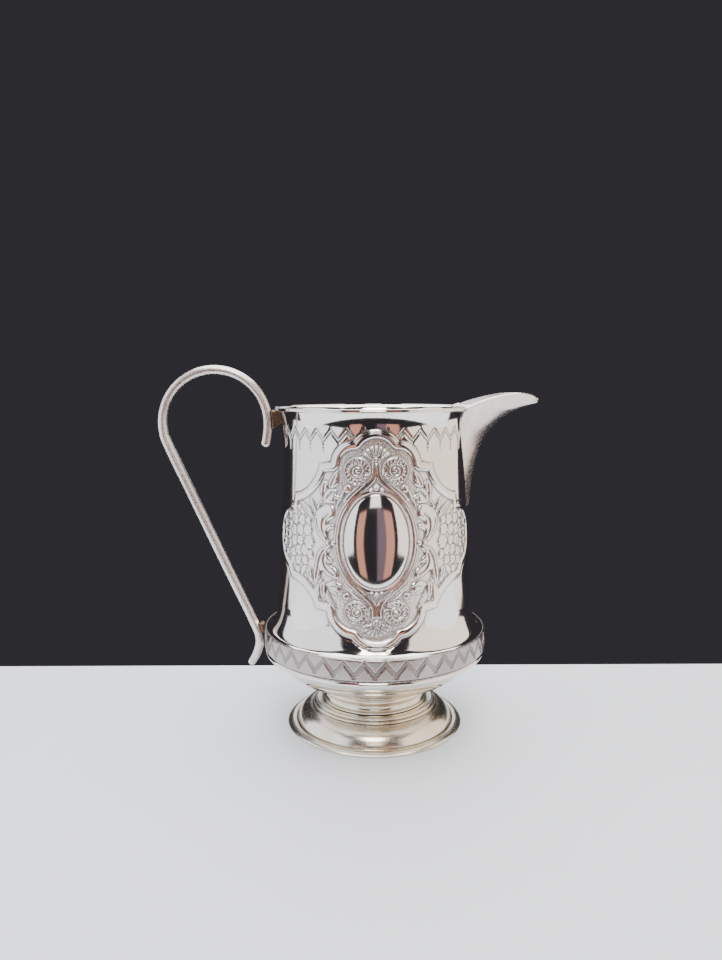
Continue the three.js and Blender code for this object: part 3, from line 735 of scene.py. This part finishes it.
a, z, r, recess = band_surface()
t = np.radians(a)
skin = np.stack([r * np.cos(t), r * np.sin(t), z], -1)
band_in = band_out - 0.75
ends = t[:, [0, -1]]
back = np.stack([band_in * np.cos(ends), band_in * np.sin(ends), z[:, [-1, 0]]], -1)
rings = np.concatenate([skin, back], axis=1)
count, rows = rings.shape[:2]
index = np.arange(count * rows).reshape(count, rows)
after = np.roll(index, -1, axis=0)
up = np.roll(index, -1, axis=1)
faces = np.stack([index, after, np.roll(after, -1, axis=1), up], -1).reshape(-1, 4)
band = piece_from("girdle_zigzag_band", rings.reshape(-1, 3).tolist(), list(map(tuple, faces.tolist())),
                  band_silver, crease=70)
shade = band.data.attributes.new("recess", "FLOAT", "POINT")
toning = np.concatenate([recess, np.zeros((count, 2))], axis=1).ravel()
shade.data.foreach_set("value", toning.astype(np.float32))
hold(band, "silver", "girdle_band")

# ---- Milled edge of the boss ----
# Round each oval boss runs a finely milled wire: short ribs, closely set, that catch the light as a
# dotted line. The ribs are struck with the sheet, so they sit half sunk in it.

milling = bpy.data.node_groups.new("milled wire", "GeometryNodeTree")
milling.is_modifier = True
milling.interface.new_socket("Geometry", in_out="INPUT", socket_type="NodeSocketGeometry")
rib_sizes = {"Rib spacing": 0.5 * MM, "Rib length": 0.34 * MM, "Rib width": 0.2 * MM}
for label, value in rib_sizes.items():
    milling.interface.new_socket(label, in_out="INPUT", socket_type="NodeSocketFloat").default_value = value
milling.interface.new_socket("Silver", in_out="INPUT", socket_type="NodeSocketMaterial")
milling.interface.new_socket("Geometry", in_out="OUTPUT", socket_type="NodeSocketGeometry")
given = add(milling, "NodeGroupInput")
line = add(milling, "GeometryNodeMeshToCurve", {"Mesh": given.outputs["Geometry"]})
spaced = add(milling, "GeometryNodeResampleCurve",
             {"Curve": line.outputs["Curve"], "Length": given.outputs["Rib spacing"]}, mode="LENGTH")
rib = add(milling, "GeometryNodeMeshIcoSphere", {"Radius": 1.0, "Subdivisions": 2})
tangent = add(milling, "GeometryNodeInputTangent")
along_path = add(milling, "FunctionNodeAlignRotationToVector", {"Vector": tangent.outputs["Tangent"]},
                 axis="Z")
rib_size = add(milling, "ShaderNodeCombineXYZ",
               {"X": given.outputs["Rib length"], "Y": given.outputs["Rib length"],
                "Z": given.outputs["Rib width"]})
ribs = add(milling, "GeometryNodeInstanceOnPoints",
           {"Points": spaced.outputs["Curve"], "Instance": rib.outputs["Mesh"],
            "Rotation": along_path.outputs["Rotation"], "Scale": rib_size.outputs["Vector"]})
real = add(milling, "GeometryNodeRealizeInstances", {"Geometry": ribs.outputs["Instances"]})
rounded = add(milling, "GeometryNodeSetShadeSmooth", {"Geometry": real.outputs["Geometry"]})
coated = add(milling, "GeometryNodeSetMaterial",
             {"Geometry": rounded.outputs["Geometry"], "Material": given.outputs["Silver"]})
add(milling, "NodeGroupOutput", {"Geometry": coated.outputs["Geometry"]})


def grown(name, tree, mesh, values):
    """The plain mesh that a node tree makes from a starting mesh."""
    start = bpy.data.objects.new(name + "_path", mesh)
    bpy.context.scene.collection.objects.link(start)
    modifier = start.modifiers.new("nodes", "NODES")
    modifier.node_group = tree
    for socket in tree.interface.items_tree:
        if socket.in_out == "INPUT" and socket.name in values:
            modifier[socket.identifier] = values[socket.name]
    bpy.context.view_layer.update()
    evaluated = start.evaluated_get(bpy.context.evaluated_depsgraph_get())
    made = bpy.data.objects.new(name, bpy.data.meshes.new_from_object(evaluated))
    bpy.context.scene.collection.objects.link(made)
    bpy.data.objects.remove(start)
    return made


for name, facing in (("front_milled_oval", -1), ("back_milled_oval", 1)):
    turns = np.linspace(0, 2 * math.pi, 240, endpoint=False)
    u = 10.98 * np.cos(turns)
    level = panel_mid_z + 15.42 * np.sin(turns)
    reach = drum_radius(level) + 0.02
    angle = np.radians((u + panel_turn) / DEGREE)
    points = np.stack([reach * np.sin(angle), facing * reach * np.cos(angle), level], -1) * MM
    path = bpy.data.meshes.new(name)
    path.from_pydata(points.tolist(), [(i, (i + 1) % 240) for i in range(240)], [])
    milled = grown(name, milling, path, {**rib_sizes, "Silver": bright_silver})
    hold(milled, "silver")

# ---- Rim wire ----
# A half-round wire is soldered round the outside of the lip and stops at either side of the spout. A
# fine line is turned in it below its top edge.

rim_in = 34.0
wire_end = 29.0  # degrees from +X
profile = [
    (rim_in, 112.35), (rim_in + 0.12, 112.3),
    *bow((rim_in + 0.12, 112.3), (rim_in + 0.4, 113.1), 0.2, 8),
    (rim_in + 0.3, 113.16), (rim_in + 0.3, 113.22),
    *bow((rim_in + 0.34, 113.24), (rim_in + 0.05, 113.58), 0.1, 5),
    (rim_in - 0.1, 113.6), (rim_in - 0.15, 113.4),
]
steps = 300
stations = np.radians(np.linspace(wire_end, 360 - wire_end, steps))
rows = len(profile)
verts = [(r * math.cos(s), r * math.sin(s), z) for s in stations for r, z in profile]
faces = [(s * rows + i, (s + 1) * rows + i, (s + 1) * rows + (i + 1) % rows, s * rows + (i + 1) % rows)
         for s in range(steps - 1) for i in range(rows)]
faces += [tuple(range(rows)), tuple(reversed(range((steps - 1) * rows, steps * rows)))]
rim = piece_from("rim_half_round_wire", verts, faces, bright_silver, crease=32)
hold(rim, "silver", "rim_wire")

# ---- Spout ----
# The spout is cut from sheet, folded to a V with a rounded keel and hammered out over its length. Its
# edges stand above the lip, and it is soldered over an opening in the drum.

planished_silver = worn_silver("planished spout silver", "#e3dad5", "#bcaaa0", 0.24, cloud_mm=10.0, tone=0.6)

tip_x = 57.0
root_z = spout_root_z
drop = lip_z - root_z
root_x = float(drum_radius(root_z)) + wall
overhang = tip_x - root_x
keel_points = np.array([
    (root_x, root_z),
    (root_x + 0.05 * overhang, root_z + 0.68 * drop),
    (root_x + 0.216 * overhang, lip_z - 0.1 * drop),
    (tip_x, lip_z + 1.4),
])


def keel(t):
    weights = ((1 - t) ** 3, 3 * t * (1 - t) ** 2, 3 * t * t * (1 - t), t ** 3)
    return sum(w * p for w, p in zip(weights, keel_points))


mouth = math.radians(mouth_half_angle)
lip_radius = drum_lip_radius + lip_flare
mouth_x, mouth_y = lip_radius * math.cos(mouth), lip_radius * math.sin(mouth)
crest = curve(*[(along, rise) for along, rise in (
    (0.0, 0.0), (0.26, 0.55), (0.52, 0.92), (0.8, 1.0), (0.95, 0.82), (1.0, 0.4))], steps=12)
half_width_at_tip = 0.9
rows_of_spout = []
keel_at_lip = 0.86
for i in range(34):
    share = 0.05 + 0.95 * i / 33
    low = keel(keel_at_lip * share)
    level = root_z + drop * share
    a = math.radians(float(mouth_angle(level)))
    reach = float(drum_radius(level)) - 0.25
    rows_of_spout.append((low, (reach * math.cos(a), reach * math.sin(a), level)))
for i in range(1, 31):
    share = i / 30
    along, rise = crest[min(len(crest) - 1, int(round(share * (len(crest) - 1))))]
    width = mouth_y * max(0.0, 1 - along) ** 0.9 + half_width_at_tip * along
    edge_z = lip_z + 4.4 * rise if along < 1 else lip_z + 1.9
    rows_of_spout.append((keel(keel_at_lip + (1 - keel_at_lip) * share),
                          (mouth_x + (tip_x - 0.3 - mouth_x) * along, width, edge_z)))
nose = 0.22
across = 40
grid = []
for low, high in rows_of_spout:
    row = []
    for j in range(across + 1):
        side = 2 * j / across - 1
        share = (math.hypot(side, nose) - nose) / (math.hypot(1, nose) - nose)
        row.append((low[0] + (high[0] - low[0]) * share, high[1] * side, low[1] + (high[2] - low[1]) * share))
    grid.append(row)
grid = np.array(grid)
verts = grid.reshape(-1, 3).tolist()
index = np.arange(grid.shape[0] * grid.shape[1]).reshape(grid.shape[:2])
faces = np.stack([index[:-1, :-1], index[:-1, 1:], index[1:, 1:], index[1:, :-1]], -1).reshape(-1, 4)
spout = piece_from("folded_spout", verts, list(map(tuple, faces.tolist())), planished_silver, crease=60)
thickness = spout.modifiers.new("sheet", "SOLIDIFY")
thickness.thickness = wall * MM
thickness.offset = -1.0
soften = spout.modifiers.new("soft edge", "BEVEL")
soften.width = 0.28 * MM
soften.segments = 3
soften.limit_method = "ANGLE"
soften.angle_limit = math.radians(50)
hold(spout, "silver", "spout")

# ---- Handle ----
# One length of round silver wire is bent to a loop that stands above the lip. Its upper tail touches the
# rim, its long straight side runs down to the girdle, and its lower tail turns out and hangs free.

handled_silver = worn_silver("handled sterling silver", "#ebe4df", "#c3b3a9", 0.32, cloud_mm=16.0, tone=0.6)

wire = 1.75
solder_gap = 0.3
rim_thickness = 0.5
standoff = 0.7
girdle_radius = 39.4
upper_x = -(lip_radius + solder_gap + rim_thickness + standoff + wire)
contact = np.array((-(girdle_radius + solder_gap + wire), 31.8))
loop_r = 18.4
loop_c = np.array((upper_x - loop_r, lip_z - 5.3))
to_contact = contact - loop_c
touch = math.atan2(to_contact[1], to_contact[0]) % (2 * math.pi) - math.acos(loop_r / np.hypot(*to_contact))
loop = [loop_c + loop_r * np.array((math.cos(a), math.sin(a))) for a in np.linspace(0, touch, 15)]
straight = [loop[-1] + (contact - loop[-1]) * s for s in (0.25, 0.5, 0.75, 0.93)]
path = [(upper_x - 1.2, loop_c[1] - 8.6), (upper_x - 0.3, loop_c[1] - 4.3), *map(tuple, loop),
        *map(tuple, straight), (contact[0], contact[1] - 1.5), (contact[0] - 1.1, contact[1] - 7.0),
        (contact[0] - 3.7, contact[1] - 11.6)]
centre = np.array(curve(*path, steps=8))
along = np.gradient(centre, axis=0)
along /= np.linalg.norm(along, axis=1)[:, None]
normal = np.stack([-along[:, 1], along[:, 0]], -1)
sides = 28
run = np.concatenate([[0], np.cumsum(np.linalg.norm(np.diff(centre, axis=0), axis=1))])
thick = wire * (0.9 + 0.22 * np.exp(-((run - 0.62 * run[-1]) / 24) ** 2))
for end in (run, run[-1] - run):
    thick = np.minimum(thick, wire * np.sqrt(np.clip(1 - (1 - np.clip(end / wire, 0, 1)) ** 2, 0.0025, 1)))
thick = np.where(run[-1] - run < 9, thick * (0.86 + 0.14 * (run[-1] - run) / 9), thick)
verts = []
for c, n, r in zip(centre, normal, thick):
    for k in range(sides):
        a = 2 * math.pi * k / sides
        verts.append((c[0] + n[0] * r * math.cos(a), r * math.sin(a), c[1] + n[1] * r * math.cos(a)))
rows = len(centre)
faces = [(i * sides + k, (i + 1) * sides + k, (i + 1) * sides + (k + 1) % sides, i * sides + (k + 1) % sides)
         for i in range(rows - 1) for k in range(sides)]
faces += [tuple(range(sides)), tuple(reversed(range((rows - 1) * sides, rows * sides)))]
handle = piece_from("bent_wire_handle", verts, faces, handled_silver)
hold(handle, "silver", "handle")

# ---- Handle joints ----
# Hard solder fills the corners where the handle meets the rim and the girdle. It was left from the
# fire, so it is dull, brown and slightly pitted.

fired_solder = worn_silver("fire-stained hard solder", "#6f5b4b", "#36271f", 0.38, cloud_mm=2.5, tone=0.9)


def run_solder(name, source):
    """The CAD lump drawn in and rounded, as molten solder is by its skin, and swollen to meet its
    neighbours."""
    lump = bpy.data.objects.new(name + "_blank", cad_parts[source].data.copy())
    bpy.context.scene.collection.objects.link(lump)
    fine = lump.modifiers.new("fine", "REMESH")
    fine.mode = "VOXEL"
    fine.voxel_size = 0.16 * MM
    swollen = lump.modifiers.new("swollen", "DISPLACE")
    swollen.strength = 0.42 * MM
    swollen.mid_level = 0.0
    drawn = lump.modifiers.new("drawn in", "SMOOTH")
    drawn.iterations = 9
    bpy.context.view_layer.update()
    mesh = bpy.data.meshes.new_from_object(lump.evaluated_get(bpy.context.evaluated_depsgraph_get()))
    bpy.data.objects.remove(lump)
    mesh.name = name
    mesh.shade_smooth()
    mesh.materials.clear()
    mesh.materials.append(fired_solder)
    made = bpy.data.objects.new(name, mesh)
    bpy.context.scene.collection.objects.link(made)
    return made


upper = run_solder("upper_solder_fillet", "upper_handle_joint")
hold(upper, "solder", "upper_handle_joint")
lower = run_solder("lower_solder_fillet", "lower_handle_joint")
hold(lower, "solder", "lower_handle_joint")

# ---- Studio ----
# A pale table in a dim room. Broad soft screens at the sides, overhead, in front and behind give the
# silver its white reflections, and low warm and mauve cards in front tint the boss and the frame.

table = bpy.data.materials.new("pale table top")
table.use_nodes = True
board = table.node_tree
board.nodes.clear()
spot = add(board, "ShaderNodeTexCoord").outputs["Object"]
mottle = add(board, "ShaderNodeTexNoise", {"Vector": spot, "Scale": 30.0, "Detail": 3.0})
tint = add(board, "ShaderNodeMapRange", {"Value": mottle.outputs["Fac"], "To Min": 0.46, "To Max": 0.54})
paint = add(board, "ShaderNodeBsdfPrincipled",
            {"Base Color": to_linear("#e9edf4"), "Roughness": tint.outputs["Result"]})
add(board, "ShaderNodeOutputMaterial", {"Surface": paint.outputs["BSDF"]})
floor_mesh = bpy.data.meshes.new("floor")
half_width, near, far = 0.6, 0.135, 0.052
floor_corners = [(-half_width, -near, 0), (half_width, -near, 0), (half_width, far, 0), (-half_width, far, 0)]
floor_mesh.from_pydata(floor_corners, [], [(0, 1, 2, 3)])
floor_mesh.materials.append(table)
floor = bpy.data.objects.new("floor", floor_mesh)
bpy.context.scene.collection.objects.link(floor)


def screen(name, place, aim, width, height, power, colour):
    """A soft rectangular light that faces a point."""
    lamp = bpy.data.lights.new(name, "AREA")
    lamp.shape = "RECTANGLE"
    lamp.size = width
    lamp.size_y = height
    lamp.energy = power
    lamp.color = to_linear(colour)[:3]
    obj = bpy.data.objects.new(name, lamp)
    bpy.context.scene.collection.objects.link(obj)
    obj.location = place
    away = np.array(place, float) - np.array(aim, float)
    obj.rotation_euler = Vector(away).to_track_quat("Z", "Y").to_euler()
    return obj


screen("left screen", (-0.52, -0.20, 0.27), (0, -0.20, 0.27), 0.94, 0.70, 3.95, "#f4f6ff")
screen("right screen", (0.52, -0.17, 0.27), (0, -0.17, 0.27), 1.0, 0.70, 4.05, "#fff2e6")
screen("top screen", (0.0, 0.30, 0.85), (0, 0.30, 0.0), 1.0, 1.3, 20.0, "#ffffff")
screen("high front screen", (-0.02, -0.50, 0.62), (0, -0.02, 0.0), 0.30, 0.26, 3.0, "#fffdf8")
screen("front screen", (0.0, -0.65, 0.30), (0, 0, 0.12), 0.24, 0.26, 0.42, "#fffdf8")
screen("rear screen", (0.0, 0.85, 0.40), (0, 0, 0.12), 0.45, 0.6, 1.2, "#f4f7ff")
screen("left warm card", (-0.28, -0.65, -0.035), (-0.28, 0, -0.035), 0.19, 0.37, 0.26, "#e0a08a")
screen("mauve card", (0.095, -0.65, -0.035), (0.095, 0, -0.035), 0.13, 0.37, 0.062, "#c0a4b4")
screen("right warm card", (0.265, -0.65, -0.035), (0.265, 0, -0.035), 0.2, 0.37, 0.265, "#e0a08a")

room = bpy.data.worlds.new("dim room")
room.use_nodes = True
room.node_tree.nodes["Background"].inputs["Color"].default_value = to_linear("#323035")
room.node_tree.nodes["Background"].inputs["Strength"].default_value = 1.0
bpy.context.scene.world = room

camera = bpy.data.cameras.new("camera")
camera.sensor_fit = "AUTO"
camera.sensor_width = 36.0
camera.lens = 28.575
camera.clip_start = 0.01
eye = bpy.data.objects.new("camera", camera)
bpy.context.scene.collection.objects.link(eye)
eye.location = (-4.6 * MM, -267 * MM, 121 * MM)
pitch = math.radians(7.115)
roll_angle = math.radians(0.2)
facing_level = Matrix.Rotation(math.radians(90) - pitch, 4, "X")
eye.matrix_world = Matrix.Translation(eye.location) @ facing_level @ Matrix.Rotation(-roll_angle, 4, "Z")
bpy.context.scene.camera = eye
